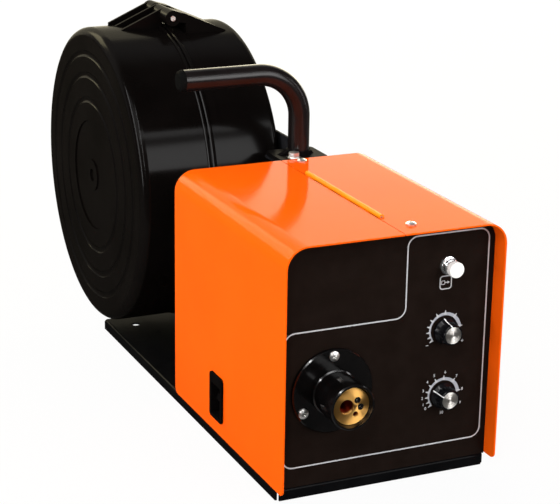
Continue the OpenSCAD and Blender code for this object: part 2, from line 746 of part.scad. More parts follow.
module feed_roll_front() feed_roll(-1, mesh_phase(90, drive_teeth, roll_teeth, 180 - mesh_a));
module feed_roll_rear() feed_roll(1, mesh_phase(90, drive_teeth, roll_teeth, mesh_a));

// Pressure arm on the side s of the drive, with its roll axle and lift tab
module arm(s) {
    py = drive_y + s * (roll_half + arm_span);
    ry = drive_y + s * roll_half;
    ey = drive_y + s * 3;
    module boss(x0, x1, y, r) rod_x(x0, x1, y, press_z, r);
    color("gray") difference() {
        union() {
            along_x(arm_x, arm_x + arm_t) {
                polygon([[py, press_z + 8], [ry, press_z + 8], [ey, press_z + 10], [ey, press_z + 2.3],
                    [drive_y + s * 13, press_z + 2.3], [ry, press_z - 7], [py, press_z - 7]]);
                translate([py, press_z]) circle(8);
                translate([ry, press_z]) circle(8);
            }
            boss(arm_x + arm_t - 0.5, plate_x - gap, py, 7);
            boss(arm_x - 4.5, arm_x + 0.5, py, 6);
            boss(disc_x - 2.6, arm_x + 0.5, ry, shoulder_r);
            boss(disc_x - 2.6, disc_x - gap, ry, 6);
            box(disc_x - 1, arm_x + 1, min(ey, ey + s * 7), max(ey, ey + s * 7), press_z + 6, press_z + 10);
        }
        rod_x(arm_x - 6, plate_x + 1, py, press_z, shoulder_r + run);
    }
}

module arm_front() arm(-1);
module arm_rear() arm(1);

module pressure_roll(s) color("lightsteelblue")
    translate([disc_x, 0, 0]) axis_x(drive_y + s * roll_half, press_z) rotate_extrude() roll_2d();

module pressure_roll_front() pressure_roll(-1);
module pressure_roll_rear() pressure_roll(1);

// Knurled preload collar on the outer end of an arm's pivot screw
module tension_knob(s) color("orangered") difference() {
    union() {
        rod_x(disc_x - 0.3, disc_x + 3.6, drive_y + s * (roll_half + arm_span), press_z, 10);
        for (i = [0:11]) rotate_about(s, i * 30) rod_x(disc_x - 0.3, disc_x + 3.6, 10, 0, 1.6);
    }
    rod_x(disc_x - 5, disc_x + 5, drive_y + s * (roll_half + arm_span), press_z, shoulder_r + run);
}

// Turns children about the pivot of arm s
module rotate_about(s, a) translate([0, drive_y + s * (roll_half + arm_span), press_z]) rotate([a, 0, 0]) children();

module tension_knob_front() tension_knob(-1);
module tension_knob_rear() tension_knob(1);

// Torsion springs round the pivot bosses
module arm_springs() color("silver") for (s = [-1, 1])
    translate([disc_x + 4.1, drive_y + s * (roll_half + arm_span), press_z]) rotate([0, 90, 0])
        linear_extrude(3.6, twist = -360 * 2.4, slices = 24, segments = 14) coil_2d(7.6, 1.2, 1.5);

module drive_screws() color("silver") for (s = [-1, 1]) {
    for (p = [[roll_half, feed_z], [roll_half + arm_span, press_z]])
        translate([plate_x - shoulder_l, drive_y + s * p[0], p[1]]) rotate([0, -90, 0]) shoulder_screw();
}

// Three guides: behind the socket, between the rolls, and at the inlet
module wire_guides() color("#b8b8a8") for (s = [-1:1])
    let (yc = drive_y + s * (roll_half + 9 + guide_l / 2), half = s == 0 ? roll_half - 11 : guide_l / 2) difference() {
        union() {
            rod_y(yc - half, yc + half, wire_x, wire_z, guide_r);
            box(wire_x, plate_x, yc - 5, yc + 5, wire_z - 4.5, wire_z + 4.5);
        }
        rod_y(yc - half - 1, yc + half + 1, wire_x, wire_z, 1.1);
    }

module liner_tube() color("#d8d8d0") difference() {
    rod_y(liner_y, drum_front + 8, wire_x, wire_z, 5);
    rod_y(liner_y - 1, drum_front + 9, wire_x, wire_z, 2);
}

// ---------------------------------------------------------------- frame and handle

// Folded steel bracket that carries drum, spindle and handle
module support_bracket() color("#3c3e42") difference() {
    union() {
        along_x(upr_x, upr_x + upr_t) polygon([
            [upr_y0, base_h], [base_y1 - 6, base_h], [base_y1 - 6, base_h + 44], [upr_y1, base_h + 84],
            [upr_y1, drum_z + 10], [drum_y - 27, case_h + 8.5],
            [upr_y0 + 44, case_h + 8.5], [upr_y0 + 44, foot_h], [upr_y0, foot_h]]);
        box(upr_x, upr_x + 34, upr_y0, base_y1 - 6, base_h, base_h + upr_t);
        box(8, 60, upr_y0, upr_y0 + 44, foot_h - upr_t, foot_h);
        box(upr_x, upr_x + 24, upr_y0, upr_y0 + upr_t, base_h, foot_h);
        box(upr_x, upr_x + 20, base_y1 - 6 - upr_t, base_y1 - 6, base_h, base_h + 43);
        box(upr_x, upr_x + 20, upr_y1 - upr_t, upr_y1, base_h + 85, drum_z + 10);
    }
    for (a = spindle_bolt_a) rod_x(upr_x - 5, upr_x + 10, drum_y + spindle_bolt_r * cos(a), drum_z + spindle_bolt_r * sin(a), bolt_r + 0.1);
    for (y = bracket_bolt_y) translate([upr_x + 19, y, 5]) cylinder(r = bolt_r + 0.1, h = 20);
    for (p = foot_bolt_at) translate([p[0], p[1], foot_h - 10]) cylinder(r = bolt_r + 0.1, h = 20);
}

module frame_bolts() color("silver") {
    for (a = spindle_bolt_a) translate([upr_x + upr_t, drum_y + spindle_bolt_r * cos(a), drum_z + spindle_bolt_r * sin(a)])
        rotate([0, 90, 0]) hex_bolt(14);
    for (y = bracket_bolt_y) translate([upr_x + 19, y, base_h + upr_t]) hex_bolt();
    for (p = foot_bolt_at) translate([p[0], p[1], foot_h + foot_t]) rotate(10) hex_bolt();
}

module handle_tube() {
    module ring_2d() difference() {
        circle(tube_r);
        circle(tube_r - tube_t);
    }
    color("#1b1a1c") {
        translate([post_x, post_y, foot_h]) linear_extrude(grip_z - handle_bend - foot_h) ring_2d();
        translate([post_x - handle_bend, post_y, grip_z - handle_bend]) rotate([90, 0, 0])
            rotate_extrude(angle = 90) translate([handle_bend, 0]) ring_2d();
        translate([grip_end, 0, 0]) axis_x(post_y, grip_z) linear_extrude(post_x - handle_bend - grip_end) ring_2d();
    }
}

module handle_plug() color("#0e0e0e") axis_x(post_y, grip_z) rotate_extrude() polygon([
    [0, grip_end - 6], [tube_r - 3, grip_end - 6], [tube_r - 0.8, grip_end - 4.6], [tube_r, grip_end - 2.5],
    [tube_r, grip_end - fit], [tube_r - tube_t - fit, grip_end - fit], [tube_r - tube_t - fit, grip_end + 12],
    [0, grip_end + 12]]);

// Cast foot with a socket for the post and a rib on either side
module handle_foot() color("#1b1a1c") difference() {
    union() {
        translate([0, 0, foot_h]) linear_extrude(foot_t) translate([34, post_y]) rrect(52, 44, 5);
        translate([post_x, post_y, foot_h]) cylinder(r = tube_r + 1.6, h = 9);
        along_y(post_y - 3, post_y + 3) polygon([[12, foot_h + 4], [post_x - tube_r, foot_h + 10],
            [post_x + tube_r, foot_h + 10], [52, foot_h + 4]]);
    }
    translate([post_x, post_y, foot_h - 1]) cylinder(r = tube_r + fit, h = 20);
    for (p = foot_bolt_at) translate([p[0], p[1], foot_h - 1]) cylinder(r = bolt_r + 0.1, h = 20);
}

// ---------------------------------------------------------------- drum

// Closed cup in (radius, x) coordinates, open at x1
module cup_2d(x0, x1, rr, t) difference() {
    union() {
        translate([0, x0 + rr]) square([drum_r, x1 - x0 - rr]);
        translate([0, x0]) square([drum_r - rr, x1 - x0]);
        translate([drum_r - rr, x0 + rr]) circle(rr);
    }
    union() {
        translate([-1, x0 + rr]) square([drum_r - t + 1, x1 - x0]);
        translate([-1, x0 + t]) square([drum_r - rr + 1, x1 - x0]);
        translate([drum_r - rr, x0 + rr]) circle(rr - t);
    }
    translate([-50, x0 - 1]) square([50, x1 - x0 + 2]);
}

// Frame of the catch: Y is outward from the drum's axis, Z runs round its rim
module at_catch() translate([0, drum_y, drum_z]) rotate([catch_a, 0, 0]) children();

// Outer half of a bead round the rim, in steps of 30 degrees
module bead_2d(r) polygon(concat([[-1, -r]], [for (a = [-90:30:90]) [r * cos(a), r * sin(a)]], [[-1, r]]));

// Children without what would reach through the drum's wall to its inside
module on_rim() difference() {
    children();
    rod_x(drum_x0 - 1, drum_x1 + 1, drum_y, drum_z, drum_r - 1.5);
}

module drum_shell() color("#1a1b1d") difference() {
    union() {
        axis_x(drum_y, drum_z) rotate_extrude($fn = 128) union() {
            translate([0, drum_x1 + seam_x + gap / 2]) mirror([0, 1])
                cup_2d(seam_x + gap / 2, drum_x1, 8, drum_wall);
            translate([drum_r, seam_x + gap / 2 + band_h + 0.3]) bead_2d(band_h);
            translate([drum_r - 1, seam_x + gap / 2]) square([1.8, step_w]);
            translate([drum_r - drum_wall - 2.2, seam_x - 5]) square([1.8, 9]);
            translate([drum_r - drum_wall - 2.2, seam_x + 1]) square([2.7, 3]);
        }
        rod_x(drum_x1 - 1, upr_x, drum_y, drum_z, 34);
        // Wedge and knuckles of the lid's hinge
        on_rim() along_y(kn[0], kn[3]) polygon([[lid_hx + 15, drum_z + drum_r - 8], [lid_hx + 15, lid_hz + 4.2],
            [18, drum_z + drum_r - 3], [18, drum_z + drum_r - 8]]);
        for (k = [[kn[0], kn[1]], [kn[2], kn[3]]]) {
            rod_y(k[0], k[1], lid_hx, lid_hz, knuckle_r);
            along_y(k[0], k[1]) polygon([[lid_hx, lid_hz - 3], [lid_hx + 1, lid_hz + knuckle_r - 0.1],
                [lid_hx + 16, lid_hz + 4], [lid_hx + 16, lid_hz - 6]]);
        }
        at_catch() for (s = [-1, 1])
            box(catch_x - 5, catch_x + 5, drum_r - 1, catch_y + 5, min(s * 9, s * 12), max(s * 9, s * 12));
    }
    axis_x(drum_y, drum_z) translate([0, 0, spin_flange_x]) cylinder(r = 32 + fit, h = 6);
    for (a = spindle_bolt_a) rod_x(0, upr_x + 5, drum_y + spindle_bolt_r * cos(a), drum_z + spindle_bolt_r * sin(a), bolt_r + 0.1);
    rod_y(kn[0] - 1, kn[4] + 1, lid_hx, lid_hz, dpin_r + 0.02);
    at_catch() translate([catch_x, catch_y, -20]) cylinder(r = 2.05, h = 40);
    box(wire_x - 8, wire_x + 30, drum_front - 12, drum_front + 30, wire_z - slot_h / 2, wire_z + slot_h / 2);
}

module drum_hinge_pin() color("gainsboro") rod_y(kn[0] - 1, kn[4] + 1, lid_hx, lid_hz, dpin_r);

module drum_lid() color("#1a1b1d") difference() {
    union() {
        axis_x(drum_y, drum_z) rotate_extrude($fn = 128) difference() {
            union() {
                cup_2d(drum_x0, seam_x - gap / 2, lid_round, drum_wall);
                translate([drum_r, seam_x - gap / 2 - lid_bead - 0.3]) bead_2d(lid_bead);
            }
            for (r = [133, 110, 83]) translate([r * drum_r / 161, drum_x0 + ring_deep - ring_r]) circle(ring_r);
            translate([17, drum_x0 - 1]) square([43, 2.2]);
            translate([-1, drum_x0 - 1]) square([8, 2.6]);
        }
        // Three fins and the knuckles of the hinge
        on_rim() for (y = [kn[1] + gap, (kn[1] + kn[2]) / 2 + 8, kn[3] + gap]) along_y(y, y + 3) polygon([
            [lid_hx - 50, drum_z + drum_r - 6], [lid_hx - 50, drum_z + drum_r], [lid_hx - 3, lid_hz + 8],
            [lid_hx - 3, lid_hz - 4], [lid_hx - 6.5, drum_z + drum_r - 6]]);
        for (k = [[kn[1] + gap, kn[2] - gap], [kn[3] + gap, kn[4]]]) rod_y(k[0], k[1], lid_hx, lid_hz, knuckle_r - 0.4);
        at_catch() box(seam_x - 12, seam_x - 8, drum_r - 1, drum_r + 3.4, -8, 8);
    }
    rod_y(kn[0] - 1, kn[4] + 1, lid_hx, lid_hz, dpin_r + run);
    box(wire_x - 8, seam_x + 10, drum_front - 12, drum_front + 30, wire_z - slot_h / 2, wire_z + slot_h / 2);
    axis_x(drum_y, drum_z) translate([0, 0, seam_x - gap / 2]) cylinder(r = drum_r - 1, h = 20);
}

// Swinging catch that hooks over the ridge on the lid's rim
module drum_catch() color("#101112") at_catch() {
    translate([catch_x, catch_y, 0]) {
        translate([0, 0, -8.7]) cylinder(r = 4.2, h = 17.4);
        translate([0, 0, -12]) cylinder(r = 2, h = 24);
    }
    box(seam_x - 16, catch_x, catch_y - 1.5, catch_y + 2, -8, 8);
    box(seam_x - 16, seam_x - 12.4, drum_r + 0.8, catch_y, -8, 8);
    translate([0, 0, -8]) linear_extrude(16) polygon([[seam_x - 16, catch_y - 1.5], [seam_x - 16, catch_y + 2],
        [seam_x - 26, catch_y + 6], [seam_x - 26, catch_y + 3]]);
}

module spindle() color("silver") difference() {
    union() {
        rod_x(spin_flange_x, spin_flange_x + 6, drum_y, drum_z, 32);
        rod_x(hub_step - 0.4, spin_flange_x + 1, drum_y, drum_z, spin_r);
    }
    for (a = spindle_bolt_a) rod_x(spin_flange_x - 1, spin_flange_x + 8, drum_y + spindle_bolt_r * cos(a), drum_z + spindle_bolt_r * sin(a),
        bolt_r + fit);
    rod_x(hub_step - 1, hub_step + 14, drum_y, drum_z, bolt_r + fit);
}

module hub_bolt() color("silver") {
    rod_x(hub_step - 2.4, hub_step - 0.4, drum_y, drum_z, spin_r + 4);
    translate([hub_step - 2.4, drum_y, drum_z]) rotate([0, -90, 0]) hex_bolt(14);
}

// Hub for the wire spool, with its flange, drive pin and slotted hollow end
module spool_hub() color("#2b2d30") difference() {
    union() {
        rod_x(hub_x0 - 11, hub_x0 + 1, drum_y, drum_z, hub_r - 0.8);
        rod_x(hub_x0, hub_x1, drum_y, drum_z, hub_r);
        rod_x(hub_x1 - 4, hub_x1, drum_y, drum_z, 52);
        rod_x(hub_x1 - 20, hub_x1 - 3, drum_y, drum_z - 44.5, 5);
    }
    rod_x(hub_step - 1, hub_x1 + 1, drum_y, drum_z, spin_r + run);
    rod_x(hub_x0 - 12, hub_step, drum_y, drum_z, hub_r - 8);
    box(hub_x0 - 12, keep_x + 6, drum_y - 5.3, drum_y + 5.3, drum_z + 5, drum_z + hub_r + 2);
    rod_y(drum_y - 21, drum_y + 21, keep_x, keep_z, 2 + run);
}

// Turn-down keeper in the hub's slot, standing across the spool's way at rest
module hub_keeper() color("orangered") {
    rod_y(drum_y - 20, drum_y + 20, keep_x, keep_z, 2);
    rod_y(drum_y - 5, drum_y + 5, keep_x, keep_z, 3.5);
    along_y(drum_y - 5, drum_y + 5) polygon([[keep_x - 3, keep_z], [keep_x + 3, keep_z],
        [keep_x + 3, drum_z + hub_r + 1.5], [keep_x + 1, drum_z + hub_r + 3.5], [keep_x - 3, drum_z + hub_r + 3.5]]);
}

// ---------------------------------------------------------------- door

module door_panel() color("orangered") difference() {
    along_y(0, case_l) mirror([1, 0]) cover_2d(-door_edge);
    corner_cut(0, -1);
    corner_cut(case_l, 1);
    box(-hw - 1, -hw + 5, latch_y - 13.5, latch_y + 13.5, latch_z - 21, latch_z + 21);
}

// Moulded latch housing with its finger recess
module latch_housing() color("#141516") difference() {
    union() {
        along_x(-hw - 2, -hw) translate([latch_y, latch_z]) rrect(31, 46, 4);
        box(-hw - 1, -hw + 8.5, latch_y - 13.3, latch_y + 13.3, latch_z - 20.8, latch_z + 20.8);
        for (s = [-1, 1]) box(-hw + 8, -hw + 14, latch_y + s * 10.8 - 2.5, latch_y + s * 10.8 + 2.5,
            latch_z - 20.8, latch_z + 20.8);
        box(-hw + 12.1, -hw + 14, latch_y - 13.3, latch_y + 13.3, latch_z - 18, latch_z - 8);
        box(-hw + 8, -hw + 14, latch_y - 13.3, latch_y + 13.3, latch_z + 18.6, latch_z + 20.8);
    }
    box(-hw - 3, -hw + 7, latch_y - 11, latch_y + 11, latch_z - 19.5, latch_z + 12.5);
    box(-hw - 3, -hw + 12, latch_y - 5.3, latch_y + 5.3, latch_z - 5.8, latch_z + 10.8);
}

// Slider: guided plate, finger grip, and the tongue that drops into the tray
module latch_slider() color("#222426") {
    box(slider_x, slider_x + slider_t, latch_y - 8, latch_y + 8, latch_z - 16, latch_z + 2.5);
    box(slider_x, slider_x + slider_t, latch_y - 6, latch_y + 6, base_h - 7, latch_z - 15);
    along_y(latch_y - 5, latch_y + 5) polygon([[slider_x + 1, latch_z - 5.5], [-hw + 3, latch_z - 5.5],
        [-hw + 1, latch_z - 3.5], [-hw + 3, latch_z + 2.5], [slider_x + 1, latch_z + 2.5]]);
}

// ---------------------------------------------------------------- output

module place() translate([-org_x, -org_y, 0]) children();

place() base_tray();
place() front_panel();
place() rear_panel();
place() mid_partition();
place() right_cover();
place() panel_screws();
place() hinge_fixed_leaf();
place() hinge_pin();
place() socket_flange();
place() socket_body();
place() socket_contacts();
place() button_bezel();
place() potentiometers();
place() control_board();
place() gas_valve();
place() gas_hose();
place() gas_nipple();
place() control_socket();
place() power_socket();
place() power_busbar();
place() drive_plate();
place() drive_mount();
place() gear_motor();
place() drive_screws();
place() wire_guides();
place() liner_tube();
place() support_bracket();
place() frame_bolts();
place() handle_tube();
place() handle_plug();
place() handle_foot();
place() drum_shell();
place() spindle();
place() hub_bolt();
place() drum_hinge_pin();
place() door_panel();
place() hinge_door_leaf();
place() latch_housing();
place() latch_slider();
place() button_cap();
place() knob_upper();
place() knob_upper_cap();
place() shaft_upper();
place() knob_lower();
place() knob_lower_cap();
place() shaft_lower();
place() drum_lid();
place() drum_catch();
place() spool_hub();
place() hub_keeper();
place() drive_gear();
place() feed_roll_front();
place() feed_roll_rear();
place() arm_front();
place() arm_rear();
place() pressure_roll_front();
place() pressure_roll_rear();
place() tension_knob_front();
place() tension_knob_rear();
place() arm_springs();
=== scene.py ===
import math

import bmesh
import bpy
from mathutils import Matrix, Vector


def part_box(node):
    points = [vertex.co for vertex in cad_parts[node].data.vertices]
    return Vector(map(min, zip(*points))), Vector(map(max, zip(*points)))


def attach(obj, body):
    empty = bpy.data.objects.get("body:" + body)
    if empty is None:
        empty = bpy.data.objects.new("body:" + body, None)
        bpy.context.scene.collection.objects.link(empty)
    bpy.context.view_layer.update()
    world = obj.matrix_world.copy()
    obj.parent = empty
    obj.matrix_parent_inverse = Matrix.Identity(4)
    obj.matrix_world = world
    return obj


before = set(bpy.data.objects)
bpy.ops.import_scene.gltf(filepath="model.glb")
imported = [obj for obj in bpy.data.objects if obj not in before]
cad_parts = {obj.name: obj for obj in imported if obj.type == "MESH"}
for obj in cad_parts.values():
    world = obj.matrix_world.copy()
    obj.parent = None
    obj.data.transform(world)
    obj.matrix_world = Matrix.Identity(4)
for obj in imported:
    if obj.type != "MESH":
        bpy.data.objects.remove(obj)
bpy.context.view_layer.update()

# ---------------------------------------------------------------- camera
# A long lens looks at the front left corner from a little above the case.
# It is held almost level, with under one degree of roll.
turn, rise, roll = math.radians(-24.44), math.radians(18.04), math.radians(0.93)
back = Vector((math.sin(turn) * math.cos(rise), -math.cos(turn) * math.cos(rise), math.sin(rise)))
side = Vector((math.cos(turn), math.sin(turn), 0))
upward = back.cross(side)
rolled_side = math.cos(roll) * side + math.sin(roll) * upward
rolled_up = math.cos(roll) * upward - math.sin(roll) * side
lens = bpy.data.cameras.new("camera")
lens.lens = 112.94
lens.sensor_width = 36
lens.clip_end = 60
camera = bpy.data.objects.new("camera", lens)
camera.matrix_world = Matrix((rolled_side, rolled_up, back)).transposed().to_4x4()
camera.location = (-0.6992, -1.60545, 0.7079)
bpy.context.scene.collection.objects.link(camera)
bpy.context.scene.camera = camera

# ---------------------------------------------------------------- studio
# White paper lies under the object. In mirrors its colour is painted darker,
# and painted darker still in front of the object: painted shade. Two warm cards stand
# behind, boxes hang above and in front, and narrow bars trace bends and rims.
paper_reach = 9
paper_corners = [(x * paper_reach, y * paper_reach, 0)
                 for x, y in ((-1, -1), (1, -1), (1, 1), (-1, 1))]
floor_mesh = bpy.data.meshes.new("floor")
floor_mesh.from_pydata(paper_corners, [], [(0, 1, 2, 3)])
floor = bpy.data.objects.new("floor", floor_mesh)
bpy.context.scene.collection.objects.link(floor)


def by_ray(tree, plain, mirrored, direct):
    """Value that plain light, mirrors and glass, and the lens meet, in that order."""
    rays = tree.nodes.new("ShaderNodeLightPath")
    sharp = tree.nodes.new("ShaderNodeMath")
    sharp.operation = "MAXIMUM"
    tree.links.new(rays.outputs["Is Glossy Ray"], sharp.inputs[0])
    tree.links.new(rays.outputs["Is Transmission Ray"], sharp.inputs[1])
    value = plain
    for factor, other in ((sharp.outputs[0], mirrored), (rays.outputs["Is Camera Ray"], direct)):
        pick = tree.nodes.new("ShaderNodeMix")
        tree.links.new(factor, pick.inputs[0])
        for slot, given in ((2, value), (3, other)):
            if isinstance(given, float):
                pick.inputs[slot].default_value = given
            else:
                tree.links.new(given, pick.inputs[slot])
        value = pick.outputs[0]
    return value


def fading(tree, along, near, far, low, high):
    """Value that rises from low to high between two places along Y."""
    axes = tree.nodes.new("ShaderNodeSeparateXYZ")
    tree.links.new(along, axes.inputs[0])
    span = tree.nodes.new("ShaderNodeMapRange")
    for socket, number in (("From Min", near), ("From Max", far),
                           ("To Min", low), ("To Max", high)):
        span.inputs[socket].default_value = number
    tree.links.new(axes.outputs["Y"], span.inputs["Value"])
    return span.outputs["Result"]


paper = bpy.data.materials.new("floor_paper")
paper.use_nodes = True
tree = paper.node_tree
paper_shader = tree.nodes["Principled BSDF"]
paper_shader.inputs["Roughness"].default_value = 0.9
paper_shader.inputs["Specular IOR Level"].default_value = 0.1
paper_grey, paper_glow = 0.55, 0.95
fade_from, fade_to = -0.42, -0.34
spot = tree.nodes.new("ShaderNodeNewGeometry").outputs["Position"]
# In mirrors the paper's colour and glow are painted dark, and darker still towards the front:
# painted shade.
painted_mirror_shade = fading(tree, spot, fade_from, fade_to, low=0.02, high=0.16)
tree.links.new(by_ray(tree, paper_grey, painted_mirror_shade, paper_grey),
               paper_shader.inputs["Base Color"])
blank = tree.nodes.new("ShaderNodeEmission")
sheet = tree.nodes.new("ShaderNodeMixShader")
painted_mirror_glow = fading(tree, spot, fade_from, fade_to, low=0.01, high=0.14)
tree.links.new(by_ray(tree, 0.0, painted_mirror_glow, paper_glow), sheet.inputs[0])
tree.links.new(paper_shader.outputs[0], sheet.inputs[1])
tree.links.new(blank.outputs[0], sheet.inputs[2])
tree.links.new(sheet.outputs[0], tree.nodes["Material Output"].inputs["Surface"])
floor_mesh.materials.append(paper)

world = bpy.data.worlds.new("studio")
bpy.context.scene.world = world
world.use_nodes = True
air = world.node_tree
air.nodes.clear()
room = air.nodes.new("ShaderNodeBackground")
room.inputs["Color"].default_value = (1, 1, 1, 1)
room_light, room_seen = 0.2, 1.0
heading = air.nodes.new("ShaderNodeTexCoord").outputs["Generated"]
mirrored_room = fading(air, heading, near=0.2, far=0.5, low=0.05, high=1.0)
air.links.new(by_ray(air, room_light, mirrored_room, room_seen), room.inputs["Strength"])
surround = air.nodes.new("ShaderNodeOutputWorld")
air.links.new(room.outputs[0], surround.inputs[0])


def soft_box(name, place, target, size, watts, tint=(1, 1, 1), lean=0.0):
    """Lamp of size width by height that faces its target, leant over by an angle."""
    lamp = bpy.data.lights.new(name, "AREA")
    lamp.color = tint
    lamp.shape = "RECTANGLE"
    lamp.size, lamp.size_y = size
    lamp.energy = watts
    stand = bpy.data.objects.new(name, lamp)
    stand.location = place
    way = Vector(target) - Vector(place)
    stand.rotation_euler = way.to_track_quat("-Z", "Y").to_euler()
    stand.rotation_euler.rotate_axis("Z", lean)
    stand.visible_camera = False
    bpy.context.scene.collection.objects.link(stand)


soft_box("rear_card", (0.9, 2.7, 1.15), (0.2, 0, 0.5), (4.4, 2.3), watts=185, tint=(1, 0.9, 0.62))
soft_box("rear_left", (-1.15, 2.6, 1.5), (-0.1, 0, 0.3), (1.0, 1.2), watts=70, tint=(1, 0.9, 0.55))
soft_box("upper_left", (-1.7, -0.9, 2.0), (0, 0, 0.15), (1.2, 1.2), watts=9)
soft_box("over_lens", (-1.15, -1.75, 1.85), (-0.05, 0.1, 0.2), (0.12, 2.4), watts=26)
soft_box("front_right", (1.06, -2.16, 1.11), (0, 0.17, 0.25), (1.6, 1.1), watts=38)
soft_box("front_bar", (0.0, -1.45, 1.6), (0, -0.34, 0.1), (4.0, 0.16), watts=13)
soft_box("side_left", (-1.6, -0.3, 0.85), (-0.1, -0.15, 0.2), (0.26, 1.8), watts=21, lean=0.6)
soft_box("side_right", (2.2, -0.78, 0.66), (0, -0.34, 0.1), (0.25, 1.2), watts=5)
bpy.context.scene.view_settings.view_transform = "Standard"

# ---------------------------------------------------------------- black base tray
# The tray under everything is folded from 1.5 mm steel sheet and open below.
# It is sprayed with black gloss paint whose tone and gloss drift a little.
noise_low, noise_high = 0.3, 0.7  # a noise value seldom leaves this range


def shader_of(made):
    return made.node_tree.nodes["Principled BSDF"]


def new_finish(name, colour, roughness, metal=0.0, ior=1.45):
    made = bpy.data.materials.new(name)
    made.use_nodes = True
    shader = shader_of(made)
    shader.inputs["Base Color"].default_value = (*colour, 1)
    shader.inputs["Roughness"].default_value = roughness
    shader.inputs["Metallic"].default_value = metal
    shader.inputs["IOR"].default_value = ior
    return made


def skin(made, weight, roughness):
    """Thin even gloss over the colour, about as strong head on as at a shallow angle."""
    shader_of(made).inputs["Coat Weight"].default_value = weight
    shader_of(made).inputs["Coat IOR"].default_value = 4.0
    shader_of(made).inputs["Coat Roughness"].default_value = roughness


def noise(made, scale, detail=3.0, stretch=(1, 1, 1)):
    """Cloudy value that is fixed to the piece."""
    tree = made.node_tree
    place = tree.nodes.new("ShaderNodeTexCoord")
    size = tree.nodes.new("ShaderNodeMapping")
    size.inputs["Scale"].default_value = stretch
    cloud = tree.nodes.new("ShaderNodeTexNoise")
    cloud.inputs["Scale"].default_value = scale
    cloud.inputs["Detail"].default_value = detail
    tree.links.new(place.outputs["Object"], size.inputs["Vector"])
    tree.links.new(size.outputs["Vector"], cloud.inputs["Vector"])
    return cloud.outputs["Fac"]


def mottle(made, dark, light, scale, stretch=(1, 1, 1)):
    """Colour that drifts between two near shades."""
    tree = made.node_tree
    ramp = tree.nodes.new("ShaderNodeValToRGB")
    ramp.color_ramp.elements[0].position = noise_low
    ramp.color_ramp.elements[0].color = (*dark, 1)
    ramp.color_ramp.elements[1].position = noise_high
    ramp.color_ramp.elements[1].color = (*light, 1)
    tree.links.new(noise(made, scale, stretch=stretch), ramp.inputs["Fac"])
    tree.links.new(ramp.outputs["Color"], shader_of(made).inputs["Base Color"])


def uneven_gloss(made, low, high, scale, stretch=(1, 1, 1)):
    """Roughness that drifts between two values."""
    tree = made.node_tree
    span = tree.nodes.new("ShaderNodeMapRange")
    for socket, number in (("From Min", noise_low), ("From Max", noise_high),
                           ("To Min", low), ("To Max", high)):
        span.inputs[socket].default_value = number
    tree.links.new(noise(made, scale, stretch=stretch), span.inputs["Value"])
    tree.links.new(span.outputs["Result"], shader_of(made).inputs["Roughness"])


def ripple(made, scale, depth, strength=0.5, detail=2.0, stretch=(1, 1, 1)):
    """Fine unevenness of the surface, depth in metres."""
    tree = made.node_tree
    bump = tree.nodes.new("ShaderNodeBump")
    bump.inputs["Distance"].default_value = depth
    bump.inputs["Strength"].default_value = strength
    tree.links.new(noise(made, scale, detail, stretch), bump.inputs["Height"])
    tree.links.new(bump.outputs["Normal"], shader_of(made).inputs["Normal"])


def dress(made, *nodes):
    """Put the material into every slot of the named nodes."""
    for node in nodes:
        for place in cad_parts[node].material_slots:
            place.material = made


tray_paint = new_finish("base_paint", (0.0024, 0.0024, 0.0027), roughness=0.3, ior=1.01)
mottle(tray_paint, (0.0018, 0.0018, 0.0021), (0.0034, 0.0034, 0.0038), scale=40)
skin(tray_paint, weight=0.007, roughness=0.2)
uneven_gloss(tray_paint, low=0.24, high=0.4, scale=60)
ripple(tray_paint, scale=500, depth=0.00003)
dress(tray_paint, "base_tray")

# ---------------------------------------------------------------- end panels
# Front and rear panels are folded from steel sheet with flanges, and powder
# coated black: satin, with the fine closed pebble that powder leaves.
panel_coat = new_finish("panel_paint", (0.0085, 0.0052, 0.004), roughness=0.42, ior=1.07)
mottle(panel_coat, (0.0073, 0.0044, 0.0033), (0.0097, 0.006, 0.0047), scale=55)
uneven_gloss(panel_coat, low=0.36, high=0.5, scale=90)
ripple(panel_coat, scale=900, depth=0.00004, strength=0.6)
dress(panel_coat, "front_panel", "rear_panel")

# ---------------------------------------------------------------- print on the front panel
# Silk-screened light grey ink: one closed line in an L shape round the panel,
# with rounded corners, and a feed symbol under the button.
panel_low, panel_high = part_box("front_panel")
ink_thickness = 0.00004
print_y = panel_low.y - ink_thickness
panel_x = (panel_low.x + panel_high.x) / 2
ink = new_finish("print_ink", (0.43, 0.43, 0.45), roughness=0.5)
mottle(ink, (0.39, 0.39, 0.41), (0.47, 0.47, 0.49), scale=700)


def piece_of(name, shape, made):
    """Make a piece from a finished shape, in one material."""
    mesh = bpy.data.meshes.new(name)
    shape.to_mesh(mesh)
    shape.free()
    mesh.materials.append(made)
    piece = bpy.data.objects.new(name, mesh)
    bpy.context.scene.collection.objects.link(piece)
    return piece


def printed(name, outlines, paint=ink, lift=0.0):
    """Print flat outlines, given in X and Z, on the panel's front face."""
    flat = bmesh.new()
    for outline in outlines:
        flat.faces.new([flat.verts.new((x, print_y - lift, z)) for x, z in outline])
    bmesh.ops.recalc_face_normals(flat, faces=flat.faces)
    for face in flat.faces:
        if face.normal.y > 0:
            face.normal_flip()
    piece = piece_of(name, flat, paint)
    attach(piece, "chassis")


def oblong(left, low, right, high):
    return [(left, low), (right, low), (right, high), (left, high)]


def rounded(corners, radius, steps=8):
    """Closed path through the corners, each rounded off in short steps."""
    points = []
    count = len(corners)
    for i, corner in enumerate(corners):
        here = Vector(corner)
        before = (Vector(corners[i - 1]) - here).normalized()
        after = (Vector(corners[(i + 1) % count]) - here).normalized()
        centre = here + (before + after) * radius
        first = here + before * radius - centre
        last = here + after * radius - centre
        for k in range(steps + 1):
            t = k / steps * math.pi / 2
            points.append(centre + first * math.cos(t) + last * math.sin(t))
    return points


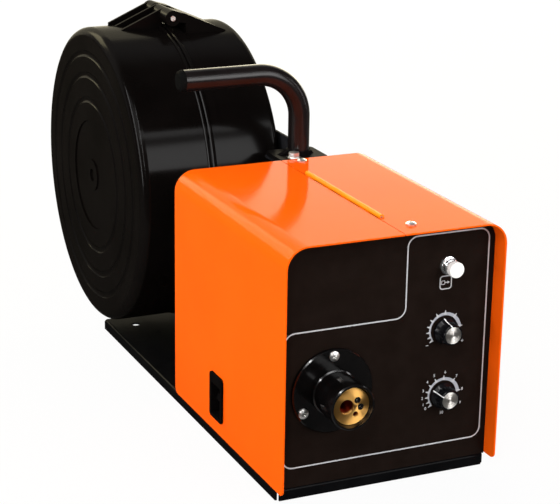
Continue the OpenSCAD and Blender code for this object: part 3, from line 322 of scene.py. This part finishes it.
def line_strip(points, width):
    """Outlines of a line of even width along a closed path."""
    count = len(points)
    edges = []
    for i in range(count):
        way = (points[(i + 1) % count] - points[i - 1]).normalized()
        out = Vector((way.y, -way.x)) * width / 2
        edges.append((points[i] + out, points[i] - out))
    quads = []
    for i in range(count):
        a, b = edges[i], edges[(i + 1) % count]
        quads.append([a[0], b[0], b[1], a[1]])
    return quads


side_gap, foot_gap, top_gap = 0.0062, 0.019, 0.0077
left, right = panel_low.x + side_gap, panel_high.x - side_gap
foot_z, top_z = panel_low.z + foot_gap, panel_high.z - top_gap
step_x, step_z = panel_x + 0.018, panel_low.z + 0.149
corner_radius, line_width = 0.010, 0.0013
frame_corners = [(left, foot_z), (right, foot_z), (right, top_z), (step_x, top_z),
                 (step_x, step_z), (left, step_z)]
printed("panel_line", line_strip(rounded(frame_corners, corner_radius), line_width))

# The feed symbol is a rounded frame round a block that an arrow leaves.
button_low, button_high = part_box("button_bezel")
symbol_x = (button_low.x + button_high.x) / 2 - 0.002
symbol_z = (button_low.z + button_high.z) / 2 - 0.0161
half_w, half_h = 0.0058, 0.0062
square = oblong(symbol_x - half_w, symbol_z - half_h, symbol_x + half_w, symbol_z + half_h)
printed("feed_symbol_frame", line_strip(rounded(square, radius=0.0026), width=0.0010))
half_block, half_shaft, half_head = 0.0017, 0.0004, 0.0014
block_left, block_right = symbol_x - 0.0044, symbol_x - 0.0010
shaft_left, shaft_right = symbol_x - 0.0007, symbol_x + 0.0020
head_left, head_right = symbol_x + 0.0018, symbol_x + 0.0041
block = oblong(block_left, symbol_z - half_block, block_right, symbol_z + half_block)
shaft = oblong(shaft_left, symbol_z - half_shaft, shaft_right, symbol_z + half_shaft)
head = [(head_left, symbol_z - half_head), (head_right, symbol_z),
        (head_left, symbol_z + half_head)]
block_line = line_strip(rounded(block, radius=0.0004, steps=2), width=0.0006)
printed("feed_symbol", block_line + [shaft, head])

# ---------------------------------------------------------------- dial scales
# Each knob turns over a printed scale: a grey band that widens towards the end,
# with nine light spikes that stand out of it. Figures 0 to 10 stand round the
# lower scale, and a minus and a plus at the ends of the upper one.
grey_ink = new_finish("grey_ink", (0.32, 0.33, 0.37), roughness=0.5)
mottle(grey_ink, (0.28, 0.29, 0.33), (0.36, 0.37, 0.41), scale=700)
# The band runs clockwise over 208 degrees while its width grows by the gain.
band_steps, band_inner, band_width, band_gain = 48, 0.0140, 0.0014, 0.0022
band_start, band_end = math.radians(-145), math.radians(-353)
# The spikes taper, and each reaches further out than the last by the gain.
spike_angles = [-143, -158, -176, 165, 143, 118, 88, 49, 6]
spike_root, spike_tip, spike_gain = 0.0144, 0.0184, 0.00008
spike_half, tip_share = 0.0014, 0.2


def around(mid_x, mid_z, reach, angle):
    return (mid_x + reach * math.cos(angle), mid_z + reach * math.sin(angle))


# Neither scale is quite centred on its knob: each has its own small offset.
dial_middle = {}
for dial, knob, off_x, off_z in (("upper", "knob_upper", -0.0014, 0.0009),
                                 ("lower", "knob_lower", 0.0001, 0.0006)):
    low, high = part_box(knob)
    mid_x, mid_z = (low.x + high.x) / 2 + off_x, (low.z + high.z) / 2 + off_z
    dial_middle[dial] = Vector((mid_x, mid_z))
    band = []
    for k in range(band_steps):
        a = band_start + (band_end - band_start) * k / band_steps
        b = band_start + (band_end - band_start) * (k + 1) / band_steps
        outer_a = band_inner + (band_width + band_gain * k / band_steps)
        outer_b = band_inner + (band_width + band_gain * (k + 1) / band_steps)
        band.append([around(mid_x, mid_z, band_inner, a), around(mid_x, mid_z, outer_a, a),
                     around(mid_x, mid_z, outer_b, b), around(mid_x, mid_z, band_inner, b)])
    printed("scale_band_" + dial, band, grey_ink)
    spikes = []
    for number, degrees in enumerate(spike_angles):
        a = math.radians(degrees)
        out = Vector((math.cos(a), math.sin(a)))
        across = Vector((-out.y, out.x)) * spike_half
        root = dial_middle[dial] + out * spike_root
        tip = dial_middle[dial] + out * (spike_tip + spike_gain * number)
        spikes.append([root + across, tip + across * tip_share,
                       tip - across * tip_share, root - across])
    printed("scale_spikes_" + dial, spikes, lift=ink_thickness)

# Each figure stands at an angle in degrees and a distance in millimetres.
figure_places = [("0", -146, 21.2), ("1", -159, 21.5), ("2", -177, 21.5), ("3", 163, 21.6),
                 ("4", 139, 22), ("5", 116, 22.2), ("6", 85, 21.9), ("7", 49, 21.4),
                 ("8", 7, 20.8), ("9", -30, 22.2), ("10", -91, 18.3)]
mid_x, mid_z = dial_middle["lower"]
for figure, degrees, reach in figure_places:
    letters = bpy.data.curves.new("figure_" + figure, "FONT")
    letters.body = figure
    letters.size = 0.0040
    letters.offset = 0.00006
    letters.align_x = "CENTER"
    letters.align_y = "CENTER"
    letters.materials.append(ink)
    mark = bpy.data.objects.new("figure_" + figure, letters)
    x, z = around(mid_x, mid_z, reach * 0.001, math.radians(degrees))
    mark.location = (x, print_y, z)
    mark.rotation_euler = (math.pi / 2, 0, 0)
    bpy.context.scene.collection.objects.link(mark)
    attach(mark, "chassis")

mid_x, mid_z = dial_middle["upper"]
minus_x, plus_x, marks_z = mid_x - 0.0172, mid_x + 0.0196, mid_z - 0.0133
thin, long = 0.0003, 0.0014
printed("less_more_marks", [
    oblong(minus_x - long, marks_z - thin, minus_x + long, marks_z + thin),
    oblong(plus_x - long, marks_z - thin, plus_x + long, marks_z + thin),
    oblong(plus_x - thin, marks_z - long, plus_x + thin, marks_z + long)])

# ---------------------------------------------------------------- push button
# A chromed brass bezel sits in the panel. A tall, slightly crowned cap of white
# plastic slides in it against a spring.
chrome = new_finish("bezel_chrome", (0.84, 0.85, 0.86), roughness=0.22, metal=1.0)
mottle(chrome, (0.80, 0.81, 0.82), (0.90, 0.91, 0.92), scale=300)
uneven_gloss(chrome, low=0.17, high=0.27, scale=500)
dress(chrome, "button_bezel")
white_cap = new_finish("white_cap", (0.86, 0.86, 0.84), roughness=0.28)
mottle(white_cap, (0.83, 0.83, 0.81), (0.88, 0.88, 0.86), scale=250)
ripple(white_cap, scale=1400, depth=0.00001)
dress(white_cap, "button_cap")

# ---------------------------------------------------------------- control knobs
# Black glossy plastic knobs with a fluted body above a smooth skirt, pushed on
# to their shafts. A white line is painted down the flutes and over the skirt,
# and a cap of spun aluminium is pressed into the top.
knob_black = new_finish("knob_black", (0.004, 0.004, 0.005), roughness=0.14, ior=1.1)
mottle(knob_black, (0.003, 0.003, 0.004), (0.006, 0.006, 0.007), scale=200)
skin(knob_black, weight=0.05, roughness=0.2)
uneven_gloss(knob_black, low=0.1, high=0.2, scale=350)
dress(knob_black, "knob_upper", "knob_lower")


def lathe_turned(made, pull):
    """Circular tool marks round the Y axis, which draw each highlight out like a bow tie."""
    shader_of(made).inputs["Anisotropic"].default_value = pull
    shader_of(made).inputs["Anisotropic Rotation"].default_value = 0.25
    rings = made.node_tree.nodes.new("ShaderNodeTangent")
    rings.direction_type = "RADIAL"
    rings.axis = "Y"
    made.node_tree.links.new(rings.outputs["Tangent"], shader_of(made).inputs["Tangent"])


spun = new_finish("spun_aluminium", (0.90, 0.86, 0.81), roughness=0.45, metal=1.0)
lathe_turned(spun, pull=0.95)
mottle(spun, (0.86, 0.81, 0.75), (0.95, 0.92, 0.88), scale=900)
dress(spun, "knob_upper_cap", "knob_lower_cap")
pointer_white = new_finish("pointer_white", (0.8, 0.8, 0.8), roughness=0.4)
mottle(pointer_white, (0.74, 0.74, 0.74), (0.84, 0.84, 0.84), scale=600)
flute_count = 20
# Each flute leans out from its top to its root, given as depth behind the front
# and distance from the axle. Its section is given as angle and height.
flute_ends = ((0.0014, 0.0098), (0.0088, 0.0104))
flute_section = ((-0.09, -0.0006), (-0.05, 0.0004), (0.05, 0.0004), (0.09, -0.0006))
pointer_half, pointer_out, pointer_up = 0.00055, 0.0003, 0.0002
for body, knob, degrees in (("upper_knob", "knob_upper", 104), ("lower_knob", "knob_lower", 149)):
    low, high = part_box(knob)
    axle = Vector(((low.x + high.x) / 2, 0, (low.z + high.z) / 2))
    front, rim = low.y, (high.x - low.x) / 2
    ribs = bmesh.new()
    for i in range(flute_count):
        a = 2 * math.pi * i / flute_count
        ring = []
        for depth, reach in flute_ends:
            for swing, stand in flute_section:
                x, z = around(axle.x, axle.z, reach + stand, a + swing)
                ring.append(ribs.verts.new((x, front + depth, z)))
        for k in range(3):
            ribs.faces.new((ring[k], ring[k + 1], ring[k + 5], ring[k + 4]))
        ribs.faces.new((ring[3], ring[2], ring[1], ring[0]))
        ribs.faces.new((ring[4], ring[5], ring[6], ring[7]))
    bmesh.ops.recalc_face_normals(ribs, faces=ribs.faces)
    flutes = piece_of(knob + "_flutes", ribs, knob_black)
    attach(flutes, body)
    out = Vector((math.cos(math.radians(degrees)), 0, math.sin(math.radians(degrees))))
    across = Vector((-out.z, 0, out.x)) * pointer_half
    # The line runs from the cap's edge down the flutes and over the skirt's rim.
    path = [(0.0078, -0.0004), (0.0094, -0.00015), (0.0109, 0.0088), (rim - 0.0011, 0.0101),
            (rim + 0.0001, 0.0116), (rim + 0.0001, 0.0132)]
    line = bmesh.new()
    rows = []
    for reach, depth in path:
        middle = axle + out * (reach + pointer_out) + Vector((0, front + depth - pointer_up, 0))
        rows.append([line.verts.new(middle + across), line.verts.new(middle - across)])
    for a, b in zip(rows, rows[1:]):
        line.faces.new((a[0], a[1], b[1], b[0]))
    pointer = piece_of(knob + "_pointer", line, pointer_white)
    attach(pointer, body)

# ---------------------------------------------------------------- gun socket
# Moulded black flange and sleeve round a turned brass body with two insulated
# contacts; each contact is a small silvered tube in its black insert. The
# brass is bright on its face, and painted shade turns it dark red inside the bores.
socket_black = new_finish("socket_plastic", (0.002, 0.0017, 0.0017), roughness=0.3, ior=1.05)
mottle(socket_black, (0.0014, 0.0012, 0.0012), (0.003, 0.0025, 0.0025), scale=90)
skin(socket_black, weight=0.13, roughness=0.13)
uneven_gloss(socket_black, low=0.18, high=0.3, scale=160)
ripple(socket_black, scale=1100, depth=0.00002)
dress(socket_black, "socket_flange")
brass = new_finish("turned_brass", (0.98, 0.52, 0.14), roughness=0.46, metal=1.0)
lathe_turned(brass, pull=0.95)
uneven_gloss(brass, low=0.42, high=0.5, scale=260)
ripple(brass, scale=600, depth=0.00002, strength=0.4, stretch=(1, 6, 1))
low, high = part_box("socket_body")
bore_shade_depth, bore_shade_drift = 0.04, 0.04
# The dark red inside the bores is painted shade.
bright_face, bore_painted_shade = (1.0, 0.55, 0.15, 1), (0.16, 0.012, 0.003, 1)
clean_rear = (0.9, 0.5, 0.14, 1)
# The colour follows the depth behind the brass face, with a cloudy edge: painted dark red shade in
# the bores.
tree = brass.node_tree
axes = tree.nodes.new("ShaderNodeSeparateXYZ")
tree.links.new(tree.nodes.new("ShaderNodeNewGeometry").outputs["Position"], axes.inputs[0])
inward = tree.nodes.new("ShaderNodeMapRange")
inward.inputs["From Min"].default_value = low.y
inward.inputs["From Max"].default_value = low.y + bore_shade_depth
tree.links.new(axes.outputs["Y"], inward.inputs["Value"])
bore_shade_ramp = tree.nodes.new("ShaderNodeValToRGB")
bore_shade_ramp.color_ramp.elements[0].position = 0.04
bore_shade_ramp.color_ramp.elements[0].color = bright_face
bore_shade_ramp.color_ramp.elements[1].position = 0.98
bore_shade_ramp.color_ramp.elements[1].color = clean_rear
for depth in (0.12, 0.9):
    bore_shade_ramp.color_ramp.elements.new(depth).color = bore_painted_shade
cloud = tree.nodes.new("ShaderNodeMath")
cloud.operation = "MULTIPLY_ADD"
cloud.inputs[1].default_value = bore_shade_drift
tree.links.new(noise(brass, scale=160), cloud.inputs[0])
tree.links.new(inward.outputs["Result"], cloud.inputs[2])
tree.links.new(cloud.outputs[0], bore_shade_ramp.inputs["Fac"])
tree.links.new(bore_shade_ramp.outputs["Color"], shader_of(brass).inputs["Base Color"])
dress(brass, "socket_body")
insert_black = new_finish("contact_insert", (0.004, 0.004, 0.004), roughness=0.35, ior=1.05)
mottle(insert_black, (0.003, 0.003, 0.003), (0.006, 0.006, 0.006), scale=600)
dress(insert_black, "socket_contacts")
silvered = new_finish("silvered_contact", (0.86, 0.85, 0.82), roughness=0.2, metal=1.0)
mottle(silvered, (0.75, 0.74, 0.72), (0.92, 0.91, 0.88), scale=800)
low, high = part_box("socket_contacts")
insert_radius, tube_sides = 0.00305, 20
# From the bore over the bevelled lip to the outside: radius and depth behind the front.
tube_section = ((0.0006, 0.012), (0.0006, 0.0012), (0.0009, 0.0008), (0.00135, 0.0012),
                (0.00135, 0.012))
contact_spots = [(high.x - insert_radius, low.z + insert_radius),
                 (low.x + insert_radius, high.z - insert_radius)]
for number, (spot_x, spot_z) in enumerate(contact_spots):
    tube = bmesh.new()
    rings = []
    for reach, depth in tube_section:
        ring = []
        for k in range(tube_sides):
            x, z = around(spot_x, spot_z, reach, 2 * math.pi * k / tube_sides)
            ring.append(tube.verts.new((x, low.y + depth, z)))
        rings.append(ring)
    for a, b in zip(rings, rings[1:]):
        for k in range(tube_sides):
            after = (k + 1) % tube_sides
            tube.faces.new((a[k], a[after], b[after], b[k]))
    bmesh.ops.recalc_face_normals(tube, faces=tube.faces)
    contact = piece_of("contact_tube_%d" % number, tube, silvered)
    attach(contact, "chassis")

# ---------------------------------------------------------------- zinc plated sheet
# The partition between the wire side and the electronics, and the gas valve's
# body, are passivated zinc over steel, with a soft spangle.
zinc = new_finish("zinc_sheet", (0.60, 0.61, 0.62), roughness=0.36, metal=1.0)
tree = zinc.node_tree
spangle = tree.nodes.new("ShaderNodeTexVoronoi")
spangle.inputs["Scale"].default_value = 120
place = tree.nodes.new("ShaderNodeTexCoord")
tree.links.new(place.outputs["Object"], spangle.inputs["Vector"])
shades = tree.nodes.new("ShaderNodeValToRGB")
shades.color_ramp.elements[0].color = (0.50, 0.51, 0.53, 1)
shades.color_ramp.elements[1].color = (0.68, 0.69, 0.70, 1)
tree.links.new(spangle.outputs["Color"], shades.inputs["Fac"])
tree.links.new(shades.outputs["Color"], shader_of(zinc).inputs["Base Color"])
uneven_gloss(zinc, low=0.28, high=0.46, scale=90)
dress(zinc, "mid_partition", "gas_valve")

# ---------------------------------------------------------------- cast aluminium
# Drive plate, pressure arms and potentiometer cans are die cast and left bare,
# with a skin as fine as sand.
cast = new_finish("cast_aluminium", (0.66, 0.67, 0.68), roughness=0.42, metal=1.0)
mottle(cast, (0.58, 0.59, 0.60), (0.72, 0.73, 0.74), scale=120)
uneven_gloss(cast, low=0.34, high=0.54, scale=160)
ripple(cast, scale=1300, depth=0.00006, strength=0.6)
dress(cast, "drive_plate", "arm_front", "arm_rear", "potentiometers")

# ---------------------------------------------------------------- motor
# The geared motor's steel can is sprayed with black wrinkle paint, which dries
# to a close, fine crumple.
wrinkle = new_finish("motor_paint", (0.035, 0.036, 0.04), roughness=0.5, ior=1.4)
mottle(wrinkle, (0.028, 0.029, 0.032), (0.045, 0.046, 0.05), scale=200)
ripple(wrinkle, scale=700, depth=0.00012, strength=0.8, detail=5.0)
dress(wrinkle, "gear_motor")

# ---------------------------------------------------------------- ground steel
# Gears, rolls, shoulder screws, spindle, shafts, hinge pin and springs: bare
# hardened steel, ground to a fine streaky shine.
steel = new_finish("ground_steel", (0.55, 0.56, 0.58), roughness=0.28, metal=1.0)
mottle(steel, (0.50, 0.51, 0.53), (0.60, 0.61, 0.63), scale=260, stretch=(5, 1, 1))
uneven_gloss(steel, low=0.2, high=0.38, scale=420, stretch=(5, 1, 1))
ripple(steel, scale=900, depth=0.00001, strength=0.5, stretch=(5, 1, 1))
dress(steel, "drive_gear", "feed_roll_front", "feed_roll_rear", "pressure_roll_front",
      "pressure_roll_rear", "drive_screws", "spindle", "shaft_upper", "shaft_lower",
      "hinge_pin", "arm_springs")

# ---------------------------------------------------------------- mouldings inside
# Plastic mouldings round the wire: orange collars and hub keeper, pale guides
# and liner tube, and the black spool hub.
signal = new_finish("orange_plastic", (0.82, 0.14, 0.010), roughness=0.4)
mottle(signal, (0.76, 0.125, 0.008), (0.88, 0.155, 0.012), scale=120)
ripple(signal, scale=1500, depth=0.00003)
dress(signal, "tension_knob_front", "tension_knob_rear", "hub_keeper")
pale = new_finish("guide_plastic", (0.48, 0.48, 0.43), roughness=0.42)
mottle(pale, (0.44, 0.44, 0.39), (0.52, 0.52, 0.47), scale=150)
ripple(pale, scale=1400, depth=0.00003)
dress(pale, "wire_guides")
liner = new_finish("liner_plastic", (0.72, 0.72, 0.68), roughness=0.3)
mottle(liner, (0.68, 0.68, 0.64), (0.76, 0.76, 0.72), scale=80, stretch=(1, 0.1, 1))
dress(liner, "liner_tube")
hub_plastic = new_finish("hub_plastic", (0.022, 0.022, 0.024), roughness=0.45)
mottle(hub_plastic, (0.017, 0.017, 0.019), (0.03, 0.03, 0.032), scale=110)
ripple(hub_plastic, scale=1300, depth=0.00005, strength=0.6)
dress(hub_plastic, "spool_hub")

# ---------------------------------------------------------------- electrics and gas
# Green board with pale solder mask flecks, copper bar, chromed control socket,
# brass gas nipple and a dull rubber gas hose.
board = new_finish("board_mask", (0.012, 0.12, 0.05), roughness=0.3)
mottle(board, (0.008, 0.09, 0.035), (0.02, 0.16, 0.07), scale=700)
dress(board, "control_board")
copper = new_finish("copper_bar", (0.84, 0.40, 0.25), roughness=0.26, metal=1.0)
mottle(copper, (0.70, 0.30, 0.18), (0.90, 0.48, 0.32), scale=45)
uneven_gloss(copper, low=0.2, high=0.4, scale=120, stretch=(1, 8, 1))
dress(copper, "power_busbar")
dress(chrome, "control_socket")
plain_brass = new_finish("plain_brass", (0.90, 0.52, 0.18), roughness=0.32, metal=1.0)
mottle(plain_brass, (0.84, 0.46, 0.14), (0.95, 0.60, 0.24), scale=160)
ripple(plain_brass, scale=600, depth=0.00002, strength=0.4)
dress(plain_brass, "gas_nipple")
rubber = new_finish("hose_rubber", (0.02, 0.022, 0.026), roughness=0.65)
mottle(rubber, (0.015, 0.017, 0.020), (0.028, 0.030, 0.034), scale=160)
ripple(rubber, scale=900, depth=0.00008, strength=0.6)
dress(rubber, "gas_hose")

# ---------------------------------------------------------------- orange sheet metal
# Door and right cover are folded from 1.5 mm steel sheet and sprayed orange:
# smooth, wet-looking paint with a very fine ripple. The rolled hinge leaves
# between them are painted a paler, yellower orange: a painted highlight.
orange = new_finish("orange_paint", (0.80, 0.099, 0.003), roughness=0.1, ior=1.045)
mottle(orange, (0.78, 0.088, 0.0022), (0.82, 0.097, 0.003), scale=9)
uneven_gloss(orange, low=0.07, high=0.13, scale=30)
ripple(orange, scale=420, depth=0.00002)
dress(orange, "door_panel", "right_cover")
# The hinge leaves' paler, yellower orange is a painted highlight.
hinge_painted_highlight = new_finish("hinge_painted_highlight", (0.85, 0.24, 0.006), roughness=0.16, ior=1.06)
mottle(hinge_painted_highlight, (0.82, 0.22, 0.005), (0.88, 0.26, 0.008), scale=60)
ripple(hinge_painted_highlight, scale=420, depth=0.00002)
dress(hinge_painted_highlight, "hinge_door_leaf", "hinge_fixed_leaf")

# ---------------------------------------------------------------- nylon mouldings
# Flush pull latch of the door, catch of the drum, power socket and the motor's
# foot are moulded in black nylon with a fine spark-eroded grain.
nylon = new_finish("black_nylon", (0.0026, 0.002, 0.002), roughness=0.4, ior=1.02)
mottle(nylon, (0.0018, 0.0015, 0.0015), (0.0035, 0.003, 0.003), scale=300)
ripple(nylon, scale=1600, depth=0.00006, strength=0.7)
dress(nylon, "latch_housing", "latch_slider", "drum_catch", "power_socket", "drive_mount")

# ---------------------------------------------------------------- support bracket
# The bracket that carries drum, spindle and handle is folded from steel sheet,
# held by hex bolts and coated in grey-black hammered paint.
bracket_paint = new_finish("bracket_paint", (0.012, 0.012, 0.013), roughness=0.4, ior=1.02)
mottle(bracket_paint, (0.009, 0.009, 0.010), (0.016, 0.016, 0.018), scale=140)
uneven_gloss(bracket_paint, low=0.3, high=0.5, scale=200)
ripple(bracket_paint, scale=600, depth=0.00008, strength=0.6)
dress(bracket_paint, "support_bracket")

# ---------------------------------------------------------------- carrying handle
# A bent steel tube in black gloss paint, bolted down by a cast foot in duller
# black and closed by a plastic end plug.
handle_gloss = new_finish("handle_paint", (0.006, 0.0045, 0.0045), roughness=0.2, ior=1.1)
mottle(handle_gloss, (0.005, 0.0038, 0.0038), (0.008, 0.006, 0.006), scale=60)
skin(handle_gloss, weight=0.05, roughness=0.24)
uneven_gloss(handle_gloss, low=0.12, high=0.24, scale=80)
ripple(handle_gloss, scale=350, depth=0.00003, strength=0.5)
dress(handle_gloss, "handle_tube")
foot_paint = new_finish("foot_paint", (0.004, 0.0035, 0.0035), roughness=0.32, ior=1.015)
mottle(foot_paint, (0.003, 0.0026, 0.0026), (0.0055, 0.0048, 0.0048), scale=120)
skin(foot_paint, weight=0.012, roughness=0.25)
ripple(foot_paint, scale=700, depth=0.00005)
dress(foot_paint, "handle_foot")
plug_plastic = new_finish("plug_plastic", (0.004, 0.004, 0.004), roughness=0.5, ior=1.02)
mottle(plug_plastic, (0.003, 0.003, 0.003), (0.005, 0.005, 0.005), scale=400)
ripple(plug_plastic, scale=1500, depth=0.00004)
dress(plug_plastic, "handle_plug")

# ---------------------------------------------------------------- spool drum
# Two blow-moulded halves in charcoal plastic: glossy, with a faint flow mottle
# and very fine moulding grain. The lid half opens on the hinge on top.
drum_plastic = new_finish("drum_plastic", (0.0026, 0.002, 0.0018), roughness=0.24, ior=1.01)
mottle(drum_plastic, (0.0020, 0.0015, 0.0013), (0.0033, 0.0026, 0.0024), scale=14)
skin(drum_plastic, weight=0.015, roughness=0.16)
ripple(drum_plastic, scale=700, depth=0.00003)
dress(drum_plastic, "drum_shell", "drum_lid")

# ---------------------------------------------------------------- bright fasteners
# Nickel plated pan head screws, hex flange bolts, the hub's bolt and the pin
# of the drum's hinge.
nickel = new_finish("nickel_plate", (0.78, 0.77, 0.74), roughness=0.34, metal=1.0)
mottle(nickel, (0.78, 0.77, 0.74), (0.86, 0.85, 0.82), scale=300)
uneven_gloss(nickel, low=0.28, high=0.42, scale=700)
dress(nickel, "panel_screws", "frame_bolts", "drum_hinge_pin", "hub_bolt")
